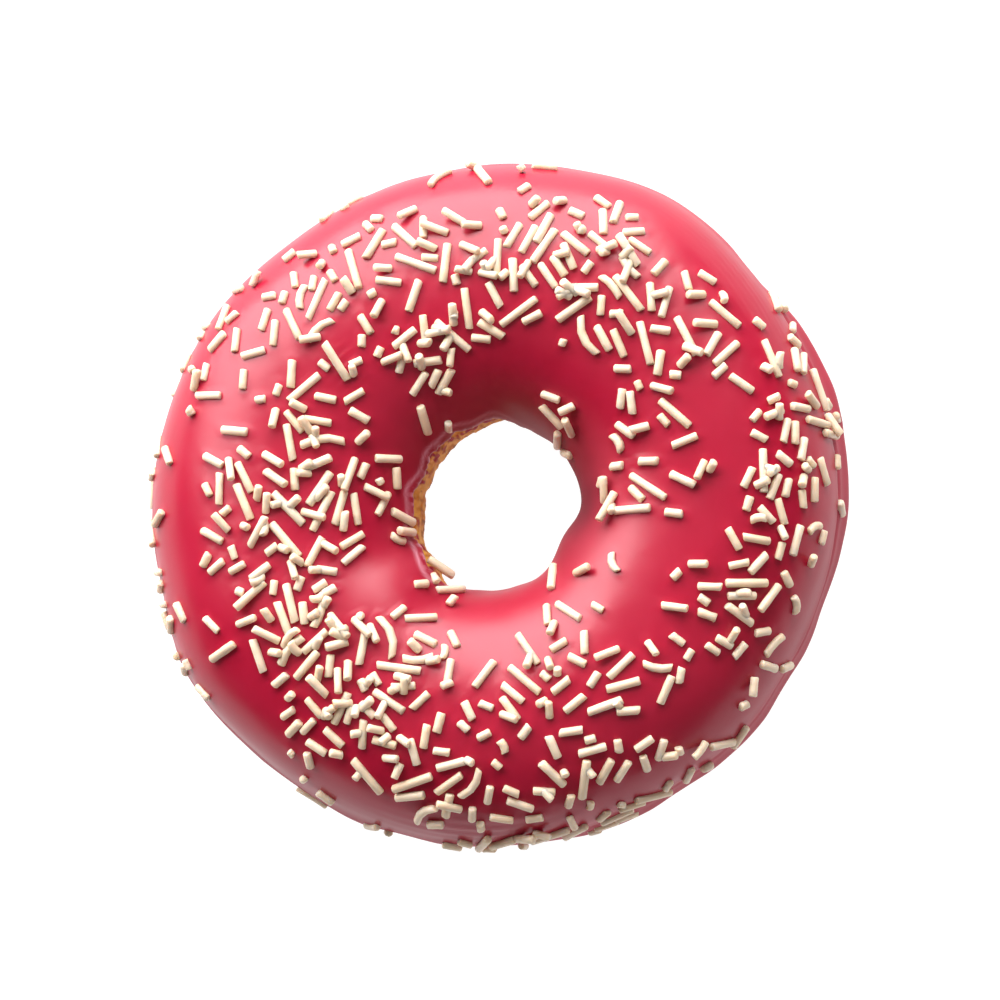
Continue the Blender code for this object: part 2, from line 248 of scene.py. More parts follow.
# Between which degrees of the section the icing dulls, in the hole and on the outer wall, where it is
# dullest round the ring in the hole, how dull it is there elsewhere, and how dull the outer wall is.
DULL_INNER, DULL_OUTER = (118, 146), (6, 22)
DULL_SWELLS = ((4, 0.75, 42),)
DULL_ELSEWHERE = 0.25
DULL_WALL = 0.5
# Painted shade in the hole: between which degrees of the section it darkens the icing, where round the ring
# it is strongest, and how strong it is elsewhere.
HOLE_SHADE_REACH = (126, 152)
HOLE_SHADE_SWELLS = ((-8, 0.7, 26),)
HOLE_SHADE_ELSEWHERE = 0.15
# The pale rim of the icing round the hole's left: where it is strongest, and the degrees from the lip and the
# half-width of its line. Then its blotches: how far from the lip they fade out, their counts and seed, and
# the heights of the lumps at which a blotch begins and is full.
RIM_SWELLS = ((150, 0.75, 60), (222, 0.6, 22))
RIM_LINE = (7.6, 1.1)
BLOTCH_REACH = (3.0, 6.0)
BLOTCH_LUMPS = (110, 150, 24)
BLOTCH_EDGES = (0.0, 0.5)
# The groove above a flare: its degrees above the outer edge, its half-width, its depth per mm of flare.
GROOVE_RISE, GROOVE_WIDTH, GROOVE_DEPTH = 21.0, 2.2, 0.5

# Grid sizes: the crust's steps round the ring and round its section, and the icing's round the ring, over the
# top, over each lip and along the back.
CRUST_STEPS = (560, 160)
ICING_STEPS = 620
TOP_STEPS, LIP_STEPS, BACK_STEPS = 118, 7, 24
# The table's steps each way, and its level, a hair below the doughnut's foot.
TABLE_STEPS = 8
TABLE_LEVEL = -0.05

# Where the lights hang, in metres, and what the camera is aimed at and films with, in mm.
KEY_PLACE = (-0.23, 0.65, 0.41)
TOP_PLACE = (0.0, 0.0, 1.2)
FILL_PLACE = (0.45, -0.45, 0.30)
CAMERA_TARGET_HEIGHT = 15.5
SENSOR_WIDTH = 36.0

# Blender tells the inputs and outputs of a colour Mix node apart by number only.
MIX_SHARE, MIX_FIRST, MIX_SECOND = 0, 6, 7
MIX_RESULT = 2


def linear(hex_colour):
    """A hex colour as the three linear values that the shaders take."""
    srgb = np.array([int(hex_colour[i : i + 2], 16) / 255 for i in (1, 3, 5)])
    return tuple(np.where(srgb <= 0.04045, srgb / 12.92, ((srgb + 0.055) / 1.055) ** 2.4))


def colour_property(name, hex_colour, description):
    return bpy.props.FloatVectorProperty(
        name=name,
        description=description,
        default=linear(hex_colour),
        subtype="COLOR",
        size=3,
        min=0.0,
        max=1.0,
    )


def size_property(name, default, description):
    return bpy.props.FloatProperty(name=name, description=f"{description}, in millimetres", default=default)


class DoughnutRing(bpy.types.PropertyGroup):
    """Sizes and colours of the fried ring."""

    radius: size_property("Radius", 43.9, "Outer radius of the dough")
    throat: size_property("Throat", 11.8, "Radius of the hole through the dough")
    equator: size_property("Equator", 13.8, "Height of the ring's widest level")
    crest: size_property("Crest", 13.9, "Rise from the widest level to the top of the dough")
    depth: size_property("Depth", 15.6, "Drop from the widest level, before the foot is flattened")
    power: bpy.props.FloatProperty(
        name="Squareness", description="Power of the superellipse section: 2 is round", default=2.25, min=2.0
    )
    crust_light: colour_property("Light crust", "#E6AC48", "Crust where it browned least")
    crust_gold: colour_property("Golden crust", "#CC821E", "Main crust colour")
    crust_dark: colour_property("Dark crust", "#7C440F", "Crust where it browned most")


class DoughnutIcing(bpy.types.PropertyGroup):
    """Sizes and colours of the icing coat."""

    thickness: size_property("Thickness", 1.1, "Depth of the icing over the dough")
    bead: size_property("Bead", 0.3, "Extra depth where the icing gathered at its edges")
    bead_width: bpy.props.FloatProperty(
        name="Bead width", description="Half-width of the bead, in degrees of the section", default=9.0
    )
    flare_width: bpy.props.FloatProperty(
        name="Flare width", description="Half-width of the flare at the outer edge, in degrees", default=7.0
    )
    outer_edge: bpy.props.FloatProperty(
        name="Outer edge", description="Where the icing ends on the outer wall, in degrees", default=-15.0
    )
    inner_edge: bpy.props.FloatProperty(
        name="Inner edge", description="Where the icing ends in the hole, in degrees", default=184.0
    )
    overhang: bpy.props.FloatProperty(
        name="Overhang", description="How far the rounded lips reach past the edges, in degrees", default=2.6
    )
    colour: colour_property("Icing", "#9E0C2B", "Pink of the icing where it is thick")
    thin_colour: colour_property("Thin icing", "#A81232", "Pink of the icing where it is thin")
    # Painted shade: the dark crimson that darkens the icing inside the hole.
    hole_shade_colour: colour_property("Deep icing", "#5C0719", "Crimson of the icing inside the hole")
    rim_colour: colour_property("Icing rim", "#D0909F", "Mauve of the icing's thin rim in the hole")


class DoughnutStrands(bpy.types.PropertyGroup):
    """Sizes and colours of the sugar strands."""

    diameter: size_property("Diameter", 1.08, "Thickness of a strand")
    spread: bpy.props.FloatProperty(name="Spread", description="Share that thickness varies", default=0.07)
    length: size_property("Length", 3.0, "Median length of a strand")
    length_spread: bpy.props.FloatProperty(
        name="Length spread", description="Standard deviation of the logarithm of length", default=0.36
    )
    shortest: size_property("Shortest", 1.2, "Shortest strand")
    longest: size_property("Longest", 6.0, "Longest strand")
    sink: bpy.props.FloatProperty(name="Sink", description="Share of a strand under the icing", default=0.3)
    seed: bpy.props.IntProperty(name="Seed", description="Seed of the random draw", default=1)
    colour: colour_property("Strands", "#E4D0B9", "Cream of the strands")
    shade_colour: colour_property("Darker strands", "#DCC4A8", "Cream of the darker strands")


def swell_at(theta, swells):
    """The sum of the bell-shaped swells at each angle round the ring."""
    total = np.zeros_like(theta)
    for angle, height, width in swells:
        away = (np.degrees(theta) - angle + 180.0) % 360.0 - 180.0
        total = total + height * np.exp(-((away / width) ** 2))
    return total


def waves_at(theta, waves):
    """The sum of the waves at each angle: each is its count round the ring, its height and its phase."""
    return sum(height * np.sin(count * theta + phase) for count, height, phase in waves)


def ring_sizes(ring, theta):
    """The radius of the section's middle, and the section's half-width, at each angle round the ring."""
    outer = ring.radius + swell_at(theta, OUTER_SWELLS)
    throat = ring.throat + swell_at(theta, THROAT_SWELLS)
    return (outer + throat) / 2, (outer - throat) / 2


def dough_point(ring, theta, phi):
    """A superellipse carried round the ring: |across|^power + |up|^power = 1, before its foot is cut flat."""
    middle, half = ring_sizes(ring, theta)
    cos, sin = np.cos(phi), np.sin(phi)
    reach = (np.abs(cos) ** ring.power + np.abs(sin) ** ring.power) ** (-1 / ring.power)
    rise = np.where(sin > 0, ring.crest + swell_at(theta, CREST_SWELLS), ring.depth)
    out = middle + half * cos * reach
    x = RING_MIDDLE[0] + out * np.cos(theta)
    y = RING_MIDDLE[1] + out * np.sin(theta)
    return np.stack([x, y, ring.equator + rise * sin * reach], axis=-1)


def unit(vectors):
    return vectors / np.linalg.norm(vectors, axis=-1, keepdims=True)


def dough_normal(ring, theta, phi):
    """The outward normal: the cross product of small steps round the ring and over the section."""
    around = dough_point(ring, theta + NORMAL_STEP, phi) - dough_point(ring, theta - NORMAL_STEP, phi)
    over = dough_point(ring, theta, phi + NORMAL_STEP) - dough_point(ring, theta, phi - NORMAL_STEP)
    return unit(np.cross(around, over))


def icing_edges(icing, theta):
    """The section angles, in degrees, where the icing ends on the outer wall and in the hole."""
    outer = icing.outer_edge + swell_at(theta, OUTER_EDGE_SWELLS) + waves_at(theta, OUTER_EDGE_WAVES)
    inner = icing.inner_edge + swell_at(theta, INNER_EDGE_SWELLS) + waves_at(theta, INNER_EDGE_WAVES)
    return outer, inner


def icing_depth(icing, theta, phi):
    """Even on top, with a bell-shaped bead at both edges, and a wider flare where it ran down and set."""
    outer, inner = icing_edges(icing, theta)
    degrees = np.degrees(phi)
    from_edge = np.minimum(degrees - outer, inner - degrees)
    flare = swell_at(theta, FLARE_SWELLS) * np.exp(-(((degrees - outer) / icing.flare_width) ** 2))
    return icing.thickness + icing.bead * np.exp(-((from_edge / icing.bead_width) ** 2)) + flare


def icing_point(ring, icing, theta, phi):
    """The icing's outer surface without its fine relief: the dough's, moved out by the icing's depth."""
    depth = icing_depth(icing, theta, phi)[..., None]
    return dough_point(ring, theta, phi) + depth * dough_normal(ring, theta, phi)


def lumps(theta, phi, round_count, over_count, seed):
    """Relief from -1 to 1: random heights on a lattice that closes both ways, eased between."""
    heights = np.random.default_rng(seed).uniform(-1, 1, (round_count, over_count))
    u = theta / (2 * np.pi) * round_count
    v = phi / (2 * np.pi) * over_count
    i, j = np.floor(u).astype(int), np.floor(v).astype(int)
    ease_u, ease_v = ((t * t * t * (t * (6 * t - 15) + 10)) for t in (u - i, v - j))

    def corner(a, b):
        return heights[(i + a) % round_count, (j + b) % over_count]

    low = corner(0, 0) + ease_u * (corner(1, 0) - corner(0, 0))
    high = corner(0, 1) + ease_u * (corner(1, 1) - corner(0, 1))
    return low + ease_v * (high - low)


def mixed(shares, layers):
    """The sum of the layers, each times its share."""
    return sum(share * layer for share, layer in zip(shares, layers))


def relief_of(theta, phi, sizes):
    """The sum of several sets of lumps, each times its height."""
    return sum(height * lumps(theta, phi, around, over, seed) for around, over, height, seed in sizes)


def shape_mesh(name, points, material):
    """A mesh object from a grid of points that closes both ways. Its quads face outwards."""
    rows, columns = points.shape[:2]
    r, c = np.meshgrid(np.arange(rows), np.arange(columns), indexing="ij")
    r_next, c_next = (r + 1) % rows, (c + 1) % columns
    corners = [r * columns + c, r_next * columns + c, r_next * columns + c_next, r * columns + c_next]
    return mesh_object(name, points.reshape(-1, 3), np.stack(corners, axis=-1).reshape(-1, 4), material)


def mesh_object(name, points, quads, material, caps=()):
    """A smooth-shaded object from points in millimetres, an array of quads, and any end faces."""
    mesh = bpy.data.meshes.new(name)
    mesh.from_pydata((points * MM).tolist(), [], quads.tolist() + [list(cap) for cap in caps])
    mesh.shade_smooth()
    mesh.materials.append(material)
    item = bpy.data.objects.new(name, mesh)
    bpy.context.scene.collection.objects.link(item)
    return item


def set_attribute(item, name, values):
    """One number for each point of the mesh, for its material to read."""
    attribute = item.data.attributes.new(name, "FLOAT", "POINT")
    attribute.data.foreach_set("value", np.ascontiguousarray(values, dtype=np.float32).ravel())


def ease(low, high, values):
    """0 below low and 1 above high, with a smooth step between."""
    t = np.clip((values - low) / (high - low), 0, 1)
    return t * t * (3 - 2 * t)


def crust_surface(ring, icing):
    """The dough's surface with its fried relief, how brown each point is, and how stained by icing.

    Relief is three sizes of lumps, pressed flat under the icing. Browning grows from the pale line at the
    equator down to the foot, follows the lumps, and is spotted in the hole. Icing stains the crust in
    blotches just past its lips.
    """
    steps = [np.arange(count) * 2 * np.pi / count for count in CRUST_STEPS]
    theta, phi = np.meshgrid(*steps, indexing="ij")
    outer, inner = icing_edges(icing, theta)
    degrees = np.degrees(phi)
    degrees = np.where(degrees > 270, degrees - 360, degrees)
    under = ease(*PRESSED_REACH, np.minimum(degrees - outer, inner - degrees))
    bumps = [lumps(theta, phi, *size) for size in CRUST_LUMPS]
    relief = mixed(CRUST_RELIEF, bumps) * (1 - under) - PRESSED_DEPTH * under
    points = dough_point(ring, theta, phi) + relief[..., None] * dough_normal(ring, theta, phi)
    points[..., 2] = np.maximum(points[..., 2], 0.0)
    drop = (ring.equator - points[..., 2]) / ring.equator
    browning = ease(*BROWNING_DROP, drop) * BROWNING_BELOW + mixed(CRUST_BROWNING, bumps)
    start, end = SPOTTED
    hole = ease(start, start + SPOT_FADE, degrees) - ease(end, end + SPOT_FADE, degrees)
    browning = browning + hole * (SPOT_BROWNING + SPOT_CONTRAST * lumps(theta, phi, *SPOT_LUMPS))
    fading = np.where(degrees > 90, ease(*STAIN_INNER, degrees - inner), ease(*STAIN_OUTER, outer - degrees))
    stain = (1 - fading) * ease(*STAIN_EDGES, mixed(CRUST_STAIN, bumps))
    return points, np.clip(browning, 0, 1), stain


def wrinkles(theta, phi):
    """Fine ridges that follow the outline, where the icing slid as it set: a wave across a fading window."""
    theta_degrees, phi_degrees = np.degrees(theta) % 360, np.degrees(phi)
    total = np.zeros_like(theta)
    for at, width, level, reach, spacing, height in WRINKLES:
        away = (theta_degrees - at + 180) % 360 - 180
        window = np.exp(-((away / width) ** 2) - ((phi_degrees - level) / reach) ** 2)
        total = total + height * window * np.sin(2 * np.pi * (phi_degrees + WRINKLE_SLOPE * away) / spacing)
    return total


def strand_rims(points, normals, strands):
    """The icing's points, raised round each strand by a bell of its distance from the strand's side."""
    flat = points.reshape(-1, 3)
    rise = np.zeros(len(flat))
    for axis, radius in strands:
        near = np.nonzero((np.abs(flat - axis[AXIS_POINTS // 2]) < RISE_SEARCH).all(axis=1))[0]
        gap = np.linalg.norm(flat[near, None] - axis[None], axis=-1).min(axis=1) - radius
        rise[near] = np.maximum(rise[near], RISE_HEIGHT * np.exp(-((gap / RISE_WIDTH) ** 2)))
    return points + rise.reshape(points.shape[:2])[..., None] * normals


def icing_surface(ring, icing, strands):
    """The icing coat as a closed shell, how dull and pale each point is, and the painted shade in the hole.

    The shell runs over the top, round a quarter-round lip at each edge, and back beneath. It dulls towards
    both edges, most on the right of the hole. Its rim round the hole's left is a thin pale line and blotches.
    """
    theta = (np.arange(ICING_STEPS) * 2 * np.pi / ICING_STEPS)[:, None]
    outer, inner = icing_edges(icing, theta)
    waver = relief_of(theta, theta * 0, EDGE_WAVER)
    low, high = outer - icing.overhang + waver, inner + icing.overhang + waver[::-1]
    turn = np.linspace(0, np.pi / 2, LIP_STEPS, endpoint=False)[None]
    lip, lip_depth = LIP_DEGREES * (1 - np.cos(turn)), np.sin(turn)
    share = np.linspace(0, 1, TOP_STEPS)[None]
    top = low + LIP_DEGREES + share * (high - low - 2 * LIP_DEGREES)
    back = np.linspace(0, 1, BACK_STEPS + 2)[None, 1:-1]
    degrees = np.concatenate([low + lip, top, (high - lip)[:, ::-1], high + back * (low - high)], axis=1)
    whole, none = np.ones((1, TOP_STEPS)), np.zeros((1, BACK_STEPS))
    depth_share = np.concatenate([lip_depth, whole, lip_depth[:, ::-1], none], axis=1)
    phi = np.radians(degrees)
    theta = np.broadcast_to(theta, phi.shape)
    depth = icing_depth(icing, theta, np.clip(phi, np.radians(low), np.radians(high)))
    relief = relief_of(theta, phi, ICING_LUMPS)
    above = (degrees - outer - GROOVE_RISE) / GROOVE_WIDTH
    relief = relief - GROOVE_DEPTH * swell_at(theta, FLARE_SWELLS) * np.exp(-(above**2))
    runs = relief_of(theta, phi * 0, RUNS) * (1 - ease(*RUNS_FADE, degrees))
    depth = (depth + relief + runs + wrinkles(theta, phi)) * depth_share - UNDER_SINK * (depth_share == 0)
    normals = dough_normal(ring, theta, phi)
    points = dough_point(ring, theta, phi) + depth[..., None] * normals
    upper = TOP_STEPS + 2 * LIP_STEPS
    points[:, :upper] = strand_rims(points[:, :upper], normals[:, :upper], strands)
    inner_dull = ease(*DULL_INNER, degrees) * (DULL_ELSEWHERE + swell_at(theta, DULL_SWELLS))
    dull = np.maximum(inner_dull, DULL_WALL * (1 - ease(*DULL_OUTER, degrees)))
    # Painted shade: how much the dark crimson darkens the icing inside the hole.
    hole_shade = ease(*HOLE_SHADE_REACH, degrees) * (HOLE_SHADE_ELSEWHERE + swell_at(theta, HOLE_SHADE_SWELLS))
    line = np.exp(-(((inner + icing.overhang - degrees - RIM_LINE[0]) / RIM_LINE[1]) ** 2))
    blotches = ease(*BLOTCH_EDGES, lumps(theta, phi, *BLOTCH_LUMPS))
    blotches = blotches * (1 - ease(*BLOTCH_REACH, high - degrees))
    rim = np.clip(swell_at(theta, RIM_SWELLS) * (line + blotches), 0, 1)
    return points, {"dull": dull, "rim": rim, "hole_shade": hole_shade}


def section_angle(ring, theta, distance):
    """The section angle of the upper surface at a distance from the ring's middle."""
    middle, half = ring_sizes(ring, theta)
    across = np.clip((distance - middle) / half, -WIDEST_SHARE, WIDEST_SHARE)
    up = (1 - np.abs(across) ** ring.power) ** (1 / ring.power)
    return np.arctan2(up, across)


def plan_strands(settings, ring, icing, draw):
    """Every strand, longest first: its ring angle, section angle, length, radius, bend and lift."""
    thetas, phis = [], []
    for angle, distance, spread, count in DRIFTS:
        x = distance * math.cos(math.radians(angle)) + spread * draw.standard_normal(count)
        y = distance * math.sin(math.radians(angle)) + spread * draw.standard_normal(count)
        thetas.append(np.arctan2(y, x))
        phis.append(section_angle(ring, thetas[-1], np.hypot(x, y)))
    for start, end, count in WALL_DRIFTS:
        thetas.append(np.radians(draw.uniform(start, end, count)))
        phis.append(np.radians(draw.uniform(WALL_LOW, WALL_HIGH, count)))
    theta, phi = np.concatenate(thetas), np.concatenate(phis)
    outer, inner = icing_edges(icing, theta)
    phi = np.radians(np.clip(np.degrees(phi), outer + EDGE_CLEARANCE, inner - EDGE_CLEARANCE))
    count = len(theta)
    length = settings.length * np.exp(settings.length_spread * draw.standard_normal(count))
    length = np.clip(length, settings.shortest, settings.longest)
    radius = settings.diameter / 2 * (1 + settings.spread * draw.uniform(-1, 1, count))
    bend = np.where(draw.random(count) < BENT_SHARE, draw.uniform(*BENDS, count), 0.0)
    lift = np.where(draw.random(count) < LIFTED_SHARE, draw.uniform(*LIFTS, count), 0.0)
    lift = np.where(np.degrees(phi) > WALL_HIGH, lift, 0.0)
    order = np.argsort(-length, kind="stable")
    return np.stack([theta, phi, length, radius, bend, lift], axis=1)[order]


def over_icing(ring, icing, theta, phi, height):
    """The point at a height over the icing, and the outward direction there."""
    place, side = np.array([theta]), np.array([phi])
    up = dough_normal(ring, place, side)[0]
    return icing_point(ring, icing, place, side)[0] + height * up, up


def strand_axis(settings, ring, icing, theta, phi, turn, length, radius, bend, lift):
    """Points along a strand's middle line: its middle rests on the icing, or one end does."""
    rest = radius * (1 - 2 * settings.sink)
    centre, up = over_icing(ring, icing, theta, phi, rest)
    around = np.array([-math.sin(theta), math.cos(theta), 0.0])
    along = math.cos(turn) * around + math.sin(turn) * np.cross(up, around)
    reach = max(length - 2 * radius * settings.sink, radius)
    if lift:
        half_width = float(ring_sizes(ring, np.array(theta))[1])
        turn_round = reach / 2 * math.cos(turn) / math.hypot(centre[0], centre[1])
        turn_over = reach / 2 * math.sin(turn) / half_width
        low = over_icing(ring, icing, theta - turn_round, phi - turn_over, rest)[0]
        high = over_icing(ring, icing, theta + turn_round, phi + turn_over, rest + lift * 2 * radius)[0]
        along = unit(high - low)
        centre = low + reach / 2 * along
    across = unit(np.cross(up, along))
    share = np.linspace(-0.5, 0.5, AXIS_POINTS)[:, None]
    return centre + share * reach * along + bend * length * (0.25 - share**2) * across


def lay_strands(settings, ring, icing):
    """Every strand's middle line and radius, each laid clear of the others, or at last leaning on them."""
    draw = np.random.default_rng(settings.seed)
    laid, radii = [], []
    for theta, phi, length, radius, bend, lift in plan_strands(settings, ring, icing, draw):
        for attempt in range(LAY_TRIES):
            turn = draw.uniform(0, 2 * math.pi)
            nudge = draw.normal(0, LAY_NUDGE * attempt, 2)
            raised = lift if attempt < LAY_TRIES - 1 else max(lift, LEANING_LIFT)
            place = (theta + nudge[0], phi + nudge[1], turn)
            axis = strand_axis(settings, ring, icing, *place, length, radius, bend, raised)
            if not laid:
                break
            others = np.stack(laid)
            gaps = np.linalg.norm(others[:, :, None] - axis[None, None], axis=-1).min(axis=(1, 2))
            if (gaps > CONTACT_SHARE * (np.array(radii) + radius)).all():
                break
        laid.append(axis)
        radii.append(radius)
    return list(zip(laid, radii))


def strand_surface(strands, seed):
    """All strands as rods: a circle carried along each middle line, narrowed and cut aslant at its ends."""
    axes = np.stack([axis for axis, _ in strands])
    radii = np.array([radius for _, radius in strands])[:, None, None, None]
    count = len(strands)
    start, end, middle = axes[:, 0], axes[:, -1], axes[:, AXIS_POINTS // 2]
    along = unit(end - start)
    length = np.linalg.norm(end - start, axis=1)[:, None]
    bow = middle - (start + end) / 2
    edge = END_ROUNDING * radii[:, :, 0, 0] / length
    tip = np.zeros_like(edge)
    inner = [tip + station for station in ROD_STATIONS]
    shares = np.concatenate([tip, edge, *inner, 1 - edge, tip + 1], axis=1)
    bow_share = 4 * shares * (1 - shares)
    centres = start[:, None] + shares[..., None] * (end - start)[:, None]
    centres = centres + bow_share[..., None] * bow[:, None]
    side = unit(np.cross(along, middle))
    up = np.cross(side, along)
    draw = np.random.default_rng(seed)
    wobble = 1 + ROD_WOBBLE * draw.standard_normal((count, 6, 1, 1))
    narrow = np.array([END_WIDTH, 1, 1, 1, 1, END_WIDTH])[None, :, None, None] * wobble
    slant = draw.normal(0, END_SLANT, (count, 2, 1, 1))
    slant_turn = draw.uniform(0, 2 * np.pi, (count, 2, 1, 1))
    angles = (np.arange(STRAND_SIDES) * 2 * np.pi / STRAND_SIDES)[None, None, :, None]
    spoke = np.cos(angles) * side[:, None, None] + np.sin(angles) * up[:, None, None]
    tilt = slant * np.cos(angles - slant_turn)
    cuts = tilt[:, [0, 0, 0, 1, 1, 1]] * np.array([1, 1, 0, 0, 1, 1])[None, :, None, None]
    return centres[:, :, None] + radii * narrow * (spoke + cuts * along[:, None, None])


def strand_mesh(name, points, material):
    """One object of all the rods: quads between each rod's circles, and a face over each end."""
    count, rings, sides = points.shape[:3]
    s, r, c = np.meshgrid(np.arange(count), np.arange(rings - 1), np.arange(sides), indexing="ij")
    first = (s * rings + r) * sides
    c_next = (c + 1) % sides
    quads = np.stack([first + c, first + sides + c, first + sides + c_next, first + c_next], axis=-1)
    starts = np.arange(count)[:, None] * rings * sides
    near = starts + np.arange(sides)
    far = starts + (rings - 1) * sides + np.arange(sides)[::-1]
    ends = np.concatenate([near, far])
    return mesh_object(name, points.reshape(-1, 3), quads.reshape(-1, 4), material, ends)


def add_node(tree, kind, settings, links=()):
    """A shader node: a setting that the node has is set on it, and any other is one of its inputs."""
    node = tree.nodes.new(kind)
    for name, value in settings.items():
        if isinstance(name, str) and hasattr(node, name):
            setattr(node, name, value)
        else:
            node.inputs[name].default_value = value
    for name, source in dict(links).items():
        tree.links.new(source, node.inputs[name])
    return node


def pattern_scale(size):
    """The scale of a pattern in Object coordinates whose features are that many millimetres across."""
    return 1000 / size


def new_material(name):
    """A material with its tree, its Principled shader and its Object coordinates."""
    material = bpy.data.materials.new(name)
    material.use_nodes = True
    tree = material.node_tree
    place = tree.nodes.new("ShaderNodeTexCoord").outputs["Object"]
    return material, tree, tree.nodes["Principled BSDF"], place


def fried_crust(ring, icing):
    """Yeast dough fried in oil: a dry, finely blistered golden skin, browner where it sat deeper."""
    material, tree, shader, place = new_material("fried yeast dough crust")
    brown = add_node(tree, "ShaderNodeAttribute", {"attribute_name": "browning"})
    mottle = add_node(
        tree,
        "ShaderNodeTexNoise",
        {"Scale": pattern_scale(1.5), "Detail": 6.0, "Roughness": 0.6},
        {"Vector": place},
    )
    patch = add_node(
        tree,
        "ShaderNodeMath",
        {"operation": "MULTIPLY_ADD", 1: 0.9, 2: -0.4},
        {0: mottle.outputs["Fac"]},
    )
    level = add_node(tree, "ShaderNodeMath", {}, {0: brown.outputs["Fac"], 1: patch.outputs[0]})
    colours = add_node(tree, "ShaderNodeValToRGB", {}, {"Fac": level.outputs[0]})
    ramp = colours.color_ramp
    ramp.elements[0].position, ramp.elements[0].color = 0.0, (*ring.crust_light, 1)
    ramp.elements[1].position, ramp.elements[1].color = 1.0, (*ring.crust_dark, 1)
    middle = ramp.elements.new(0.5)
    middle.color = (*ring.crust_gold, 1)
    stain = add_node(tree, "ShaderNodeAttribute", {"attribute_name": "stain"})
    stained = add_node(
        tree,
        "ShaderNodeMix",
        {"data_type": "RGBA", MIX_SECOND: (*icing.colour, 1)},
        {MIX_SHARE: stain.outputs["Fac"], MIX_FIRST: colours.outputs["Color"]},
    )
    tree.links.new(stained.outputs[MIX_RESULT], shader.inputs["Base Color"])
    blisters = add_node(tree, "ShaderNodeTexVoronoi", {"Scale": pattern_scale(1.1)}, {"Vector": place})
    pores = add_node(
        tree, "ShaderNodeTexNoise", {"Scale": pattern_scale(0.5), "Detail": 4.0}, {"Vector": place}
    )
    rough = add_node(
        tree, "ShaderNodeMapRange", {"To Min": 0.6, "To Max": 0.8}, {"Value": mottle.outputs["Fac"]}
    )
    tree.links.new(rough.outputs["Result"], shader.inputs["Roughness"])
    raised = add_node(
        tree,
        "ShaderNodeBump",
        {"Strength": 0.5, "Distance": 0.0004},
        {"Height": blisters.outputs["Distance"]},
    )
    skin = add_node(
        tree,
        "ShaderNodeBump",
        {"Strength": 0.4, "Distance": 0.00015},
        {"Height": pores.outputs["Fac"], "Normal": raised.outputs["Normal"]},
    )
    tree.links.new(skin.outputs["Normal"], shader.inputs["Normal"])
    shader.inputs["Specular IOR Level"].default_value = 0.25
    shader.inputs["Subsurface Weight"].default_value = 0.1
    shader.inputs["Subsurface Radius"].default_value = (0.0015, 0.0007, 0.0003)
    shader.inputs["Subsurface Scale"].default_value = 1.0
    return material


def set_icing(icing):
    """Poured sugar icing, set: a glossy, slightly translucent pink, thinner in patches.

    It dulls towards its edges; painted shade darkens it to crimson in the hole, which has a thin pale rim.
    """
    material, tree, shader, place = new_material("set sugar icing")
    patches = add_node(
        tree, "ShaderNodeTexNoise", {"Scale": pattern_scale(14.0), "Detail": 2.0}, {"Vector": place}
    )
    colour = add_node(
        tree,
        "ShaderNodeMix",
        {"data_type": "RGBA", MIX_FIRST: (*icing.colour, 1), MIX_SECOND: (*icing.thin_colour, 1)},
        {MIX_SHARE: patches.outputs["Fac"]},
    )
    # The first mix paints shade into the icing in the hole; the second paints its pale rim.
    for name, shade in (("hole_shade", icing.hole_shade_colour), ("rim", icing.rim_colour)):
        amount = add_node(tree, "ShaderNodeAttribute", {"attribute_name": name})
        colour = add_node(
            tree,
            "ShaderNodeMix",
            {"data_type": "RGBA", MIX_SECOND: (*shade, 1)},
            {MIX_SHARE: amount.outputs["Fac"], MIX_FIRST: colour.outputs[MIX_RESULT]},
        )
    tree.links.new(colour.outputs[MIX_RESULT], shader.inputs["Base Color"])
    film = add_node(
        tree, "ShaderNodeTexNoise", {"Scale": pattern_scale(5.0), "Detail": 3.0}, {"Vector": place}
    )
    rough = add_node(
        tree, "ShaderNodeMapRange", {"To Min": 0.26, "To Max": 0.36}, {"Value": film.outputs["Fac"]}
    )
    dull = add_node(tree, "ShaderNodeAttribute", {"attribute_name": "dull"})
    finish = add_node(
        tree,
        "ShaderNodeMath",
        {"operation": "MULTIPLY_ADD", 1: 0.6, "use_clamp": True},
        {0: dull.outputs["Fac"], 2: rough.outputs["Result"]},
    )
    tree.links.new(finish.outputs[0], shader.inputs["Roughness"])
    flow = add_node(
        tree, "ShaderNodeTexNoise", {"Scale": pattern_scale(3.0), "Detail": 3.0}, {"Vector": place}
    )
    bump = add_node(
        tree, "ShaderNodeBump", {"Strength": 0.15, "Distance": 0.0002}, {"Height": flow.outputs["Fac"]}
    )
    tree.links.new(bump.outputs["Normal"], shader.inputs["Normal"])
    shader.inputs["IOR"].default_value = 1.5
    shader.inputs["Subsurface Weight"].default_value = 0.25
    shader.inputs["Subsurface Radius"].default_value = (0.0016, 0.0004, 0.0005)
    shader.inputs["Subsurface Scale"].default_value = 1.0
    return material


